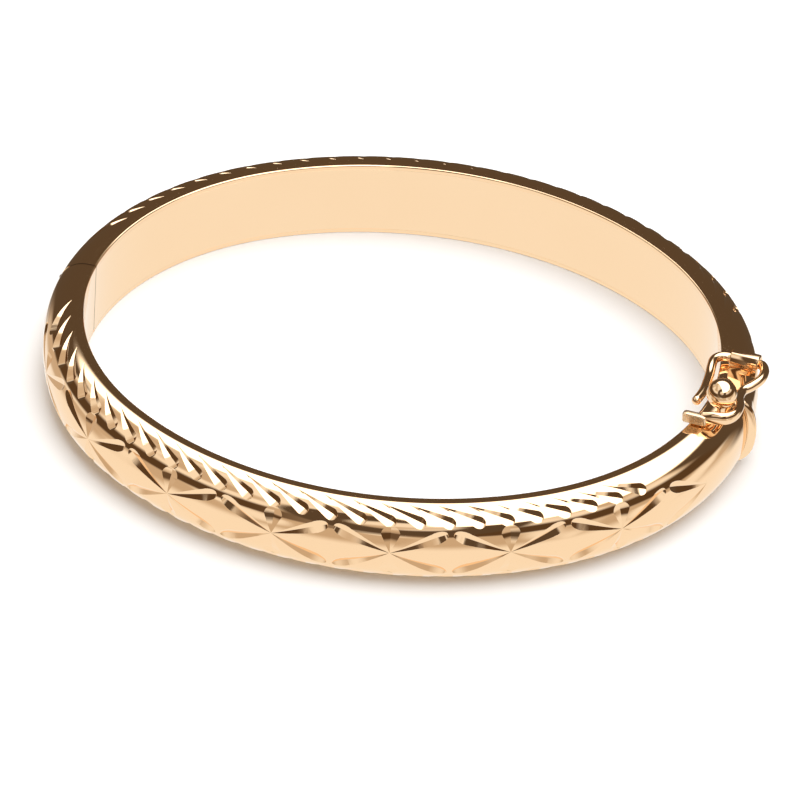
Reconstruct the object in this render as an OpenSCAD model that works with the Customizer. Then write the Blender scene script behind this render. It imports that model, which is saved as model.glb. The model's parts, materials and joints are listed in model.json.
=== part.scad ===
/* [Band] */
// Half of the oval opening along X, from the centre to the inner wall
opening_half_length = 30; // [28:0.5:36]
// Half of the oval opening along Y, from the centre to the inner wall
opening_half_width = 27; // [22.5:0.5:28]
// Width of the band, from the rim that it rests on to the upper rim
band_width = 7.65; // [6.3:0.05:9.2]
// Thickness of the band, from the inner wall to the crown
band_thickness = 3.7; // [3.2:0.05:4.5]
// Radius of the crown, the gently domed outer face
crown_radius = 8.1; // [7.5:0.1:10]
// Radius of the shoulders between the crown and the flat rims
shoulder_radius = 2.8; // [2.4:0.05:3]
// Sheet thickness of the two outer shells
shell_wall = 0.45; // [0.35:0.05:0.55]
// Sheet thickness of the two inner bands
inner_band_wall = 0.45; // [0.35:0.05:0.6]
// Thickness of the plates that close the ends of the halves
end_plate = 0.5; // [0.4:0.05:0.6]
// Gap between the two halves where they meet, hinge and clasp alike
seam_gap = 0.1; // [0.06:0.01:0.16]

/* [Hinge] */
// Depth of the hinge pin under the crown
hinge_depth = 0.95; // [0.9:0.01:1.1]
// Radius of the hinge knuckles
knuckle_radius = 0.8; // [0.7:0.01:0.85]
// Height of the three knuckles together
barrel_height = 3.8; // [3.2:0.1:4.2]
// Radius of the hinge pin
hinge_pin_radius = 0.4; // [0.3:0.01:0.45]
// Gap between neighbouring knuckles
knuckle_gap = 0.06; // [0.04:0.01:0.1]
// Radial clearance round the knuckles inside both halves
pocket_clearance = 0.1; // [0.08:0.01:0.15]
// Length of the lug that joins a knuckle to its end plate, from the pin
knuckle_lug = 1.5; // [1.3:0.05:1.7]
// Angle of relief on the outside of each half's hinge end
hinge_relief_angle = 26.5; // [26:0.5:32]

/* [Clasp] */
// Distance of the tongue's middle from the inner wall
tongue_inset = 1.72; // [1.6:0.01:1.85]
// Width of both tongue leaves, across the band's thickness
tongue_width = 1.6; // [1.3:0.05:1.7]
// Thickness of the fixed leaf
base_leaf_thickness = 0.4; // [0.3:0.05:0.5]
// Height of the fixed leaf's top under the middle of the band
base_leaf_drop = 1.1; // [0.9:0.05:1.3]
// Distance from the seam to the fold at the tongue's tip
fold_reach = 5.45; // [4.8:0.05:6]
// Radius of the fold
fold_radius = 0.45; // [0.4:0.01:0.5]
// Thickness of the spring leaf
spring_leaf_thickness = 0.35; // [0.25:0.05:0.4]
// Height of the spring leaf's shoulder over the middle of the band
shoulder_height = 1.24; // [1:0.01:1.4]
// Gap between the spring leaf's shoulder and the back of the mouth plate
shoulder_gap = 0.17; // [0.15:0.01:0.25]
// Clearance of the tongue in the mouth, over its width and under it
mouth_clearance = 0.2; // [0.15:0.01:0.3]
// Extra room in the mouth towards the crown, for the tongue's curved way in
mouth_swing_room = 0.2; // [0.15:0.01:0.3]
// Depth by which the shoulder stands behind the mouth's upper lip
shoulder_catch = 0.2; // [0.15:0.01:0.24]
// Width of the neck between the spring leaf and the ball's stem
neck_width = 0.6; // [0.4:0.05:0.8]

/* [Push ball] */
// Distance of the ball's middle from the seam
ball_offset = 2.75; // [2.6:0.05:3]
// Radius of the ball
ball_radius = 1.45; // [1.3:0.05:1.5]
// Height of the ball's middle over the upper rim
ball_height = 2.15; // [2.1:0.05:2.3]
// Radius of the ball's stem
stem_radius = 0.4; // [0.3:0.05:0.45]
// Depth of the stem's socket in the ball
stem_socket = 0.7; // [0.4:0.05:0.9]
// Clearance of the stem in the slot of the front shell
slot_clearance = 0.14; // [0.12:0.01:0.2]
// Travel of the stem along the slot as the ball is pressed
slot_travel = 0.3; // [0.26:0.01:0.4]

/* [Collar] */
// Height by which the collar at the clasp stands over the crown
collar_rise = 0.75; // [0.4:0.05:0.8]
// Width of the collar along the band
collar_width = 0.8; // [0.6:0.05:1]
// Distance of the collar from the seam
collar_setback = 0.2; // [0.1:0.05:0.3]
// Half of the collar's height across the crown
collar_half_height = 3; // [2.4:0.05:3.1]

/* [Safety catch] */
// Distance of the catch's hinge from the seam
catch_hinge_offset = 5.3; // [5.2:0.05:5.6]
// Distance of the middle of the catch's hinge from the inner wall's end
catch_hinge_inset = 1.85; // [1.7:0.01:2]
// Turn of the catch away from square with the seam
catch_skew = 3; // [0:0.5:4]
// Radius of the catch's wire
wire_radius = 0.4; // [0.35:0.01:0.42]
// Height of the wire's underside over the upper rim
wire_lift = 0.22; // [0.2:0.01:0.3]
// Running clearance of the wire in the bracket
wire_clearance = 0.05; // [0.03:0.01:0.08]
// Half of the bracket's length along the catch's hinge
bracket_half_length = 1.4; // [1.2:0.05:1.45]
// Wall of the bracket round the wire
bracket_wall = 0.4; // [0.3:0.01:0.45]
// Radius of the bend on the crown side of the large loop
outer_bend = 0.85; // [0.8:0.05:1]
// Radius of the bend on the inner side of the large loop
inner_bend = 1.25; // [1.1:0.05:1.3]
// Length of the large loop before the waist
large_loop = 2.7; // [2.6:0.05:2.9]
// Radius of the lower bend of the large loop
lower_bend = 1; // [0.9:0.05:1.1]
// Radius of the reverse bend at the waist
waist_bend = 1.9; // [1.8:0.05:2]
// Length of the straight stretch between the waist and the small loop
waist_run = 0.7; // [0.5:0.05:0.9]
// Radius of the small loop
small_radius = 2.1; // [2.05:0.05:2.2]
// Length of the inner strand after the large loop
inner_strand = 4.8; // [4.6:0.05:5]
// Sideways step of the inner strand towards the ball
inner_strand_step = 0.7; // [0.6:0.05:0.8]
// Length of the inner strand's straight end
inner_tail = 2.2; // [2:0.05:2.3]
// Length of the thumb tab
tab_length = 2.3; // [2:0.05:2.6]
// Thickness of the thumb tab along the catch
tab_thickness = 0.75; // [0.6:0.05:0.9]
// Height of the thumb tab
tab_height = 1; // [0.8:0.05:1.1]
// Distance by which the thumb tab stands in front of the small loop
tab_drop = 0.6; // [0.4:0.05:0.7]

/* [Hidden] */
$fn = 96;

// Four-arc oval of the inner wall: the centres of its end and side arcs and the
// middle make a 3-4-5 triangle
arc_meet_angle = atan2(4, 3);
end_radius = (3 * opening_half_width - opening_half_length) / 2;
end_centre = opening_half_length - end_radius;
side_centre = end_centre * 4 / 3;
side_radius = opening_half_width + side_centre;
overlap_angle = 4;

// D-shaped section: x runs outwards from the inner wall, y up from the lower rim
mid = band_width / 2;
shoulder_rise = mid - shoulder_radius;
crown_centre = band_thickness - crown_radius;
rim_land = crown_centre + sqrt(pow(crown_radius - shoulder_radius, 2) - pow(shoulder_rise, 2));
crown_angle = atan2(shoulder_rise, rim_land - crown_centre);

// Places that several pieces share
far = 4 * opening_half_length;
half_gap = seam_gap / 2;
cut_over = 1;
hinge_x = -(opening_half_length + band_thickness - hinge_depth);
knuckle_height = (barrel_height - 2 * knuckle_gap) / 3;
barrel_bottom = mid - barrel_height / 2;
pin_clearance = 0.03;
tongue_x = opening_half_length + tongue_inset;
base_leaf_top = mid - base_leaf_drop;
fold_z = base_leaf_top - base_leaf_thickness + fold_radius;
shoulder_y = half_gap + end_plate + shoulder_gap;
shoulder_z = mid + shoulder_height;
leaf_run = fold_reach - shoulder_y;
leaf_rise = shoulder_z - fold_z;
leaf_slope = atan2(leaf_rise, leaf_run);
leaf_length = norm([leaf_run, leaf_rise]);
leaf_corner_z = shoulder_z + spring_leaf_thickness / 2 * cos(leaf_slope);
lip_z = leaf_corner_z - shoulder_catch;
neck_top = lip_z - mouth_clearance / 2;
neck_play = 0.7;
ball_z = band_width + ball_height;
stem_top = ball_z - ball_radius + stem_socket;
wire_z = band_width + wire_lift + wire_radius;
bracket_top = wire_z + wire_radius + wire_clearance + bracket_wall;
bracket_half_depth = wire_radius + wire_clearance + bracket_wall;
catch_x = opening_half_length + catch_hinge_inset;
bar_half = bracket_half_length + 0.1;

// Bends of the catch's outer strand, in the catch's own plane: the lower bend turns by
// the larger angle of a 3-4-5 triangle, and the waist goes on by the smaller one
lower_turn = atan2(4, 3);
loop_turn = 90 - lower_turn;
outer_u = bar_half + outer_bend;
lower_u = outer_u - lower_bend;
waist_u = lower_u + (lower_bend + waist_bend) * cos(lower_turn);
waist_v = -large_loop - (lower_bend + waist_bend) * sin(lower_turn);
run_u = waist_u - waist_bend * cos(loop_turn);
run_v = waist_v - waist_bend * sin(loop_turn);
small_u = run_u + waist_run * sin(loop_turn) - small_radius * cos(loop_turn);
small_v = run_v - waist_run * cos(loop_turn) - small_radius * sin(loop_turn);
tab_run = 0.55;

// Bends of the catch's inner strand
strand_turn = 2 * atan2(inner_strand_step, inner_strand);
strand_radius = inner_strand / 2 / sin(strand_turn);
inner_u = -(bar_half + inner_bend);
inner_v = -inner_bend - inner_strand;

// The strands are square, a little wider than the bar that runs into them
strand_half = wire_radius + 0.02;
bar_over = 0.2;
bend_steps = 10;

// ---- sections -------------------------------------------------------------

// The D-shaped section, set in by inset and starting at start from the inner wall
module d_section(inset, start) {
  intersection() {
    translate([start, inset]) square([band_thickness, band_width - 2 * inset]);
    union() {
      intersection() {
        translate([crown_centre, mid]) circle(crown_radius - inset);
        polygon([
          [crown_centre, mid],
          [far * cos(crown_angle), mid + (far * cos(crown_angle) - crown_centre) * tan(crown_angle)],
          [far * cos(crown_angle), mid - (far * cos(crown_angle) - crown_centre) * tan(crown_angle)]
        ]);
      }
      translate([0, inset]) square([rim_land, band_width - 2 * inset]);
      for (side = [-1, 1])
        translate([rim_land, mid + side * shoulder_rise]) circle(shoulder_radius - inset);
    }
  }
}

// Outer shell: a D-shaped sheet, open towards the inner wall
module shell_section() {
  difference() {
    d_section(0, 0);
    d_section(shell_wall, 0);
  }
}

// Inner band: the strip between the shell's two edges
module inner_band_section() {
  translate([0, shell_wall]) square([inner_band_wall, band_width - 2 * shell_wall]);
}

// Hollow that the end plates close
module cavity_section() {
  d_section(shell_wall, inner_band_wall);
}

// ---- sweeps ---------------------------------------------------------------

// One stretch of the oval on an arc round centre, from angle start over angle sweep
module arc_sweep(centre, radius, start, sweep) {
  translate(centre)
    rotate([0, 0, start])
      rotate_extrude(angle = sweep)
        translate([radius, 0])
          children();
}

// A quarter of the oval: an end arc and a side arc from the point where they meet,
// each reaching a little past the quarter's end
module quarter_sweep() {
  translate([end_centre, 0, 0])
    rotate([0, 0, arc_meet_angle])
      mirror([0, 1, 0])
        rotate_extrude(angle = arc_meet_angle + overlap_angle)
          translate([end_radius, 0])
            children();
  arc_sweep([0, -side_centre, 0], side_radius, arc_meet_angle, 90 - arc_meet_angle + overlap_angle)
    children();
}

// Space between the two halves, and all that lies on the -Y side of it
module front_space() {
  translate([-far, -2 * far + half_gap, -far]) cube([2 * far, 2 * far, 2 * far]);
}

// The section swept over the half of the oval on the +Y side
module half_sweep() {
  difference() {
    union() {
      quarter_sweep() children();
      mirror([1, 0, 0]) quarter_sweep() children();
    }
    front_space();
  }
}

// A plate across the hollow at one end of the +Y half: side 1 is the clasp, -1 the hinge
module end_plate_blank(side) {
  plate_angle = asin((half_gap + end_plate) / end_radius);
  difference() {
    arc_sweep([side * end_centre, 0, 0], end_radius, side > 0 ? 0 : 180 - plate_angle, plate_angle)
      cavity_section();
    front_space();
  }
}

// ---- hinge ----------------------------------------------------------------

// Bottom of knuckle number i, counted from the lowest
function knuckle_bottom(i) = barrel_bottom + i * (knuckle_height + knuckle_gap);

// Room for the knuckles, with the relief outside the pin that lets the halves swing
module hinge_pocket() {
  translate([hinge_x, 0, barrel_bottom - pocket_clearance])
    cylinder(r = knuckle_radius + pocket_clearance, h = barrel_height + 2 * pocket_clearance);
  relief_reach = 3 * hinge_depth;
  translate([hinge_x + pocket_clearance, 0, -cut_over])
    linear_extrude(band_width + 2 * cut_over)
      polygon([
        [0, 0],
        [-relief_reach, relief_reach * tan(hinge_relief_angle)],
        [-relief_reach, -relief_reach * tan(hinge_relief_angle)]
      ]);
}

// Keeps an end plate clear of the barrel and of all that lies outside the pin beside it
module hinge_plate_relief() {
  hinge_pocket();
  outside = 3 * hinge_depth;
  translate([hinge_x - outside, -outside, barrel_bottom - pocket_clearance])
    cube([outside, 2 * outside, barrel_height + 2 * pocket_clearance]);
}

// Lug between knuckle number i and the end plate of its half: side 1 is the back half
module lug(i, side) {
  translate([hinge_x, side > 0 ? half_gap : -half_gap - end_plate, knuckle_bottom(i)])
    cube([knuckle_lug, end_plate, knuckle_height]);
}

// Knuckle number i, with its lug
module knuckle(i, side) {
  color("goldenrod")
    difference() {
      union() {
        translate([hinge_x, 0, knuckle_bottom(i)]) cylinder(r = knuckle_radius, h = knuckle_height);
        lug(i, side);
      }
      translate([hinge_x, 0, knuckle_bottom(i) - cut_over])
        cylinder(r = hinge_pin_radius + pin_clearance, h = knuckle_height + 2 * cut_over);
    }
}

module upper_knuckle() {
  knuckle(2, -1);
}

module middle_knuckle() {
  knuckle(1, 1);
}

module lower_knuckle() {
  knuckle(0, -1);
}

module hinge_pin() {
  color("gold")
    translate([hinge_x, 0, barrel_bottom]) cylinder(r = hinge_pin_radius, h = barrel_height);
}

// ---- back half ------------------------------------------------------------

module back_shell() {
  color("gold")
    difference() {
      half_sweep() shell_section();
      hinge_pocket();
    }
}

module back_inner_band() {
  color("navajowhite") half_sweep() inner_band_section();
}

module back_hinge_plate() {
  color("goldenrod")
    difference() {
      end_plate_blank(-1);
      hinge_plate_relief();
      lug(1, 1);
    }
}

// Plate with the mouth that the tongue snaps into
module back_mouth_plate() {
  mouth_bottom = base_leaf_top - base_leaf_thickness - mouth_clearance;
  color("goldenrod")
    difference() {
      end_plate_blank(1);
      translate([tongue_x - tongue_width / 2 - mouth_clearance, 0, mouth_bottom])
        cube([tongue_width + 2 * mouth_clearance + mouth_swing_room, 2 * end_plate, lip_z - mouth_bottom]);
    }
}

// Raised rib round the crown just behind the mouth
module clasp_collar() {
  collar_start = half_gap + collar_setback;
  color("gold")
    intersection() {
      arc_sweep([end_centre, 0, 0], end_radius, 0, arc_meet_angle)
        difference() {
          translate([crown_centre, mid]) circle(crown_radius + collar_rise);
          d_section(0, 0);
          square([rim_land, band_width]);
        }
      translate([opening_half_length, collar_start, mid - collar_half_height])
        cube([2 * band_thickness, collar_width, 2 * collar_half_height]);
    }
}

// The catch's own frame: its hinge bar lies along x, its loops run to -y
module in_catch_frame() {
  translate([catch_x, catch_hinge_offset, wire_z]) rotate([0, 0, -catch_skew]) children();
}

// Strap over the catch's hinge bar, soldered to the upper rim
module catch_bracket() {
  color("gold")
    difference() {
      in_catch_frame()
        translate([-bracket_half_length, -bracket_half_depth, -2 * wire_radius - shoulder_radius / 2])
          cube([
            2 * bracket_half_length,
            2 * bracket_half_depth,
            bracket_top - wire_z + 2 * wire_radius + shoulder_radius / 2
          ]);
      in_catch_frame()
        rotate([0, 90, 0])
          translate([0, 0, -2 * bracket_half_length])
            cylinder(r = wire_radius + wire_clearance, h = 4 * bracket_half_length);
      arc_sweep([end_centre, 0, 0], end_radius, 0, arc_meet_angle) d_section(0, 0);
    }
}

// ---- front half -----------------------------------------------------------

// Slot in the upper rim that the ball's stem moves in
module stem_slot() {
  slot_half = stem_radius + slot_clearance;
  translate([tongue_x - slot_half, -ball_offset - slot_half - slot_travel, mid + shoulder_rise])
    cube([2 * slot_half, 2 * slot_half + slot_travel, band_width]);
}

module front_shell() {
  color("gold")
    difference() {
      mirror([0, 1, 0]) half_sweep() shell_section();
      hinge_pocket();
      stem_slot();
    }
}

module front_inner_band() {
  color("navajowhite") mirror([0, 1, 0]) half_sweep() inner_band_section();
}

module front_hinge_plate() {
  color("goldenrod")
    difference() {
      mirror([0, 1, 0]) end_plate_blank(-1);
      hinge_plate_relief();
      lug(0, -1);
      lug(2, -1);
    }
}

// Plate that carries the fixed leaf, with a slot for the spring leaf's neck
module front_clasp_plate() {
  slot_half = neck_width / 2 + mouth_clearance;
  slot_bottom = neck_top - spring_leaf_thickness - neck_play;
  color("goldenrod")
    difference() {
      mirror([0, 1, 0]) end_plate_blank(1);
      translate([tongue_x - slot_half, -2 * end_plate, slot_bottom])
        cube([2 * slot_half, 2 * end_plate, neck_top + mouth_clearance - slot_bottom]);
    }
}

// Fixed leaf of the tongue, soldered to the front clasp plate
module tongue_base_leaf() {
  leaf_end = fold_reach - fold_radius - seam_gap;
  color("goldenrod")
    translate([tongue_x - tongue_width / 2, -half_gap, base_leaf_top - base_leaf_thickness])
      cube([tongue_width, leaf_end + half_gap, base_leaf_thickness]);
}

// ---- spring leaf and push ball --------------------------------------------

// Folded leaf whose shoulder springs up behind the mouth's lip
module tongue_spring_leaf() {
  color("goldenrod")
    union() {
      translate([tongue_x - tongue_width / 2, fold_reach, fold_z])
        rotate([0, 90, 0]) cylinder(r = fold_radius, h = tongue_width);
      translate([tongue_x - tongue_width / 2, fold_reach, fold_z])
        rotate([-leaf_slope, 0, 0])
          translate([0, -leaf_length, -spring_leaf_thickness / 2])
            cube([tongue_width, leaf_length, spring_leaf_thickness]);
      translate([
        tongue_x - neck_width / 2,
        -ball_offset - stem_radius,
        neck_top - spring_leaf_thickness
      ])
        cube([neck_width, ball_offset + stem_radius + shoulder_y + fold_radius, spring_leaf_thickness]);
    }
}

module ball_stem() {
  color("gold")
    translate([tongue_x, -ball_offset, neck_top])
      cylinder(r = stem_radius, h = stem_top - neck_top);
}

module push_ball() {
  color("gold")
    difference() {
      translate([tongue_x, -ball_offset, ball_z]) sphere(ball_radius);
      translate([tongue_x, -ball_offset, 0]) cylinder(r = stem_radius, h = stem_top);
    }
}

// ---- safety catch ---------------------------------------------------------

// Points on an arc round centre, from angle a1 to angle a2
function arc_points(centre, radius, a1, a2) = [
  for (i = [0 : bend_steps])
    let (a = a1 + (a2 - a1) * i / bend_steps)
      [centre[0] + radius * cos(a), centre[1] + radius * sin(a)]
];

function reversed(list) = [for (i = [len(list) - 1 : -1 : 0]) list[i]];

// One edge of the outer strand: side 1 is outside the loops, -1 inside
function outer_edge(side) = concat(
  arc_points([bar_half, -outer_bend], outer_bend + side * strand_half, 90, 0),
  arc_points([lower_u, -large_loop], lower_bend + side * strand_half, 0, -lower_turn),
  arc_points([waist_u, waist_v], waist_bend - side * strand_half, 180 - lower_turn, 180 + loop_turn),
  arc_points([small_u, small_v], small_radius + side * strand_half, loop_turn, -90),
  [[small_u - tab_run, small_v - small_radius - tab_drop / 2 - side * strand_half]]
);

// One edge of the inner strand: side 1 is outside the loops, -1 inside
function inner_edge(side) = concat(
  arc_points([-bar_half, -inner_bend], inner_bend + side * strand_half, 90, 180),
  arc_points([inner_u + strand_radius, -inner_bend], strand_radius + side * strand_half, 180, 180 + strand_turn),
  arc_points(
    [inner_u + inner_strand_step - strand_radius, inner_v],
    strand_radius - side * strand_half,
    strand_turn,
    0
  ),
  [[inner_u + inner_strand_step - side * strand_half, inner_v - inner_tail]]
);

// Hinge bar, and the two strands that make the large loop, the waist and the small loop
module catch_wire() {
  color("gold")
    in_catch_frame()
      union() {
        translate([-bar_half - bar_over, 0, 0])
          rotate([0, 90, 0]) cylinder(r = wire_radius, h = 2 * (bar_half + bar_over));
        translate([0, 0, -strand_half])
          linear_extrude(2 * strand_half) {
            polygon(concat(outer_edge(1), reversed(outer_edge(-1))));
            polygon(concat(inner_edge(1), reversed(inner_edge(-1))));
          }
      }
}

// Flattened end of the wire that a fingernail lifts
module thumb_tab() {
  color("gold")
    in_catch_frame()
      translate([
        small_u - tab_run - tab_length,
        small_v - small_radius - tab_drop - tab_thickness / 2,
        -tab_height / 2
      ])
        cube([tab_length, tab_thickness, tab_height]);
}

back_shell();
back_inner_band();
back_hinge_plate();
back_mouth_plate();
middle_knuckle();
hinge_pin();
clasp_collar();
catch_bracket();
front_shell();
front_inner_band();
front_hinge_plate();
front_clasp_plate();
upper_knuckle();
lower_knuckle();
tongue_base_leaf();
tongue_spring_leaf();
ball_stem();
push_ball();
catch_wire();
thumb_tab();
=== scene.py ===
"""Looks of a hinged oval bangle: engraved shells, polished inner walls, clasp and safety catch.

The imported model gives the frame. Everything here is worked out from its boxes and joints, in
millimetres, and each finished mesh is brought to metres with its object left at the origin.
"""

import sys
import json
import logging
import math
from dataclasses import dataclass
from enum import Enum
from typing import Sequence

import bmesh
import bpy
import numpy as np
from mathutils import Matrix, Vector


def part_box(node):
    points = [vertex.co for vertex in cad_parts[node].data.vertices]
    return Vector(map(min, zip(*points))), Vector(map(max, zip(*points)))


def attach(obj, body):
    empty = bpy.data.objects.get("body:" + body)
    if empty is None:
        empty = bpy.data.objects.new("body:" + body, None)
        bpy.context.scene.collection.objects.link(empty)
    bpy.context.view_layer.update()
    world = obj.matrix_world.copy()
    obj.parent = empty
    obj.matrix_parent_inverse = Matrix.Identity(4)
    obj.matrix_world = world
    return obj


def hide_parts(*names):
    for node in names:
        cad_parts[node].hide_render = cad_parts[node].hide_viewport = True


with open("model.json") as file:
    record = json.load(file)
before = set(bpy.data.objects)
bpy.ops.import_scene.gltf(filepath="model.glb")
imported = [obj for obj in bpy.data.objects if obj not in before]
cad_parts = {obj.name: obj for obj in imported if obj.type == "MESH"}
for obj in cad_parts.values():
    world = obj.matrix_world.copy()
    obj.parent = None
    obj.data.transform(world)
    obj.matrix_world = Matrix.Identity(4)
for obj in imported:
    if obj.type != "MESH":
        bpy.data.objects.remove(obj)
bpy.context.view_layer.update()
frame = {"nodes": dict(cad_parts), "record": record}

LOG = logging.getLogger("bangle")
MM = 0.001
FACET_ANGLE = math.radians(11)
SKIN_ANGLE = math.radians(7)
SKIN_GAP = 0.012
Point2 = tuple[float, float]
Piece = bpy.types.Object
Tree = bpy.types.NodeTree
Socket = bpy.types.NodeSocket
Metal = bpy.types.Material


# ---- small tools -----------------------------------------------------------


def box_mm(node: str) -> tuple[Vector, Vector]:
    """Corners of a CAD node's box.

    Args:
        node: Name of the CAD node.

    Returns:
        Its lowest and highest corner, in millimetres.
    """
    low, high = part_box(node)
    return Vector(low) / MM, Vector(high) / MM


def joint_place(name: str) -> tuple[Vector, Vector]:
    """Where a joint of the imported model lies.

    Args:
        name: Name of the joint.

    Returns:
        A point on its axis, in millimetres, and the axis as a unit vector.
    """
    joints = frame["record"]["behaviour"]["joints"]
    joint = next(j for j in joints if j["name"] == name)
    return Vector(joint["pos_m"]) / MM, Vector(joint["axis"]).normalized()


def arc(centre: Point2, radius: float, start: float, end: float, steps: int) -> list[Point2]:
    """Points on an arc in a plane.

    Args:
        centre: Centre of the arc.
        radius: Radius of the arc.
        start: First angle, in radians.
        end: Last angle, in radians.
        steps: Number of equal steps between them.

    Returns:
        The points, both ends included.
    """
    angles = (start + (end - start) * i / steps for i in range(steps + 1))
    return [(centre[0] + radius * math.cos(a), centre[1] + radius * math.sin(a)) for a in angles]


def mesh_object(name: str, verts: Sequence[Vector], faces: Sequence[Sequence[int]]) -> Piece:
    """A new object from vertices and faces, with its faces turned outwards.

    Args:
        name: Name of the object.
        verts: Vertices, in millimetres.
        faces: Faces as vertex numbers.

    Returns:
        The object, linked to the scene.
    """
    mesh = bpy.data.meshes.new(name)
    mesh.from_pydata([tuple(v) for v in verts], [], faces)
    bm = bmesh.new()
    bm.from_mesh(mesh)
    bmesh.ops.recalc_face_normals(bm, faces=bm.faces)
    bm.to_mesh(mesh)
    bm.free()
    piece = bpy.data.objects.new(name, mesh)
    bpy.context.scene.collection.objects.link(piece)
    return piece


def loft(name: str, rings: Sequence[Sequence[Vector]]) -> Piece:
    """A closed solid through rings of equal length, with flat ends.

    Args:
        name: Name of the object.
        rings: The rings, each a closed loop of vertices in the same order.

    Returns:
        The solid's object.
    """
    size = len(rings[0])
    verts = [v for ring in rings for v in ring]
    faces: list[list[int]] = []
    for r in range(len(rings) - 1):
        for i in range(size):
            j = (i + 1) % size
            faces.append([r * size + i, r * size + j, (r + 1) * size + j, (r + 1) * size + i])
    faces.append(list(range(size)))
    faces.append(list(range((len(rings) - 1) * size, len(rings) * size)))
    return mesh_object(name, verts, faces)


def bake_modifiers(piece: Piece) -> None:
    """Turns a piece's evaluated shape into its plain mesh and takes its modifiers off.

    Args:
        piece: The object with modifiers.
    """
    evaluated = piece.evaluated_get(bpy.context.evaluated_depsgraph_get())
    mesh = bpy.data.meshes.new_from_object(evaluated)
    piece.modifiers.clear()
    old = piece.data
    piece.data = mesh
    bpy.data.meshes.remove(old)


def carve(piece: Piece, cutter: Piece) -> None:
    """Takes a cutter's volume away from a piece, and removes the cutter.

    Args:
        piece: The solid to cut.
        cutter: The closed solid that is taken away.
    """
    cut = piece.modifiers.new("cut", "BOOLEAN")
    cut.operation = "DIFFERENCE"
    cut.solver = "MANIFOLD"
    cut.object = cutter
    bake_modifiers(piece)
    bpy.data.objects.remove(cutter)


def soften(piece: Piece, width: float, segments: int = 3) -> None:
    """Rounds a piece's sharp edges.

    Args:
        piece: The solid to round.
        width: Width of the rounding, in millimetres.
        segments: Number of facets across it.
    """
    bevel = piece.modifiers.new("soften", "BEVEL")
    bevel.width = width
    bevel.segments = segments
    bevel.limit_method = "ANGLE"
    bevel.angle_limit = math.radians(35)
    bake_modifiers(piece)


def finish_mesh(piece: Piece, crease: float = 30.0) -> None:
    """Brings a piece to metres and shades it smooth up to a crease.

    Args:
        piece: The piece, in millimetres.
        crease: Angle between two faces from which their edge stays sharp, in degrees.
    """
    piece.data.transform(Matrix.Scale(MM, 4))
    piece.data.shade_smooth()
    piece.data.set_sharp_from_angle(angle=math.radians(crease))


# ---- node trees ------------------------------------------------------------


def feed(tree: Tree, socket: Socket, value: object) -> None:
    """Links an output to a socket, or sets the socket's own value.

    Args:
        tree: The node tree.
        socket: The input socket.
        value: An output socket or a plain value.
    """
    if isinstance(value, Socket):
        tree.links.new(value, socket)
    else:
        socket.default_value = value


def node_link(tree: Tree, kind: str, **inputs: object) -> bpy.types.Node:
    """Adds a node and sets or links its inputs by name.

    Args:
        tree: The node tree.
        kind: The node's type name.
        **inputs: Input names, with spaces as underscores, and a value or an output socket each.

    Returns:
        The node.
    """
    node = tree.nodes.new(kind)
    for key, value in inputs.items():
        feed(tree, node.inputs[key.replace("_", " ")], value)
    return node


def math_node(tree: Tree, operation: str, *values: object) -> Socket:
    """Adds a Math node.

    Args:
        tree: The node tree.
        operation: What the node works out.
        *values: Its inputs in order, each a value or an output socket.

    Returns:
        The node's output.
    """
    node = tree.nodes.new("ShaderNodeMath")
    node.operation = operation
    for socket, value in zip(node.inputs, values):
        feed(tree, socket, value)
    return node.outputs[0]


def vector_node(tree: Tree, operation: str, first: object, second: object) -> bpy.types.Node:
    """Adds a Vector Math node.

    Args:
        tree: The node tree.
        operation: What the node works out.
        first: Its first input, a value or an output socket.
        second: Its second input, likewise.

    Returns:
        The node.
    """
    node = tree.nodes.new("ShaderNodeVectorMath")
    node.operation = operation
    feed(tree, node.inputs[0], first)
    feed(tree, node.inputs[1], second)
    return node


def blend_node(tree: Tree, share: Socket, first: object, second: object
               ) -> Socket:
    """Adds a Mix node for colours.

    Args:
        tree: The node tree.
        share: Share of the second colour.
        first: First colour, as four values or an output socket.
        second: Second colour, likewise.

    Returns:
        The blended colour.
    """
    mix = tree.nodes.new("ShaderNodeMix")
    mix.data_type = "RGBA"
    tree.links.new(share, mix.inputs["Factor"])
    feed(tree, mix.inputs[6], first)
    feed(tree, mix.inputs[7], second)
    return mix.outputs[2]


def pattern_tree(name: str, inputs: Sequence[tuple[str, str]]
                 ) -> tuple[Tree, bpy.types.NodeInputs]:
    """An empty Geometry Nodes group with its named inputs.

    Args:
        name: Name of the group.
        inputs: Name and socket type of each input.

    Returns:
        The group, and the sockets that give its inputs.
    """
    tree = bpy.data.node_groups.new(name, "GeometryNodeTree")
    for label, kind in inputs:
        tree.interface.new_socket(label, in_out="INPUT", socket_type=f"NodeSocket{kind}")
    tree.interface.new_socket("Geometry", in_out="OUTPUT", socket_type="NodeSocketGeometry")
    return tree, tree.nodes.new("NodeGroupInput").outputs


def close_pattern(tree: Tree, geometry: Socket,
                  material: Socket) -> None:
    """Makes a pattern's instances real, dresses them and hands them out.

    Args:
        tree: The pattern.
        geometry: What the pattern made.
        material: The material that it wears.
    """
    whole = node_link(tree, "GeometryNodeRealizeInstances", Geometry=geometry)
    dressed = node_link(tree, "GeometryNodeSetMaterial", Geometry=whole.outputs[0], Material=material)
    out = tree.nodes.new("NodeGroupOutput")
    tree.links.new(dressed.outputs[0], out.inputs[0])


def run_pattern(piece: Piece, tree: Tree, values: dict[str, object]) -> None:
    """Runs a pattern on a piece and keeps what it makes as the piece's mesh.

    Args:
        piece: The object.
        tree: The pattern.
        values: Its inputs by name.
    """
    modifier = piece.modifiers.new("pattern", "NODES")
    modifier.node_group = tree
    for socket in tree.interface.items_tree:
        if socket.in_out == "INPUT" and socket.name in values:
            modifier[socket.identifier] = values[socket.name]
    bake_modifiers(piece)


# ---- the band's form -------------------------------------------------------


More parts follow.
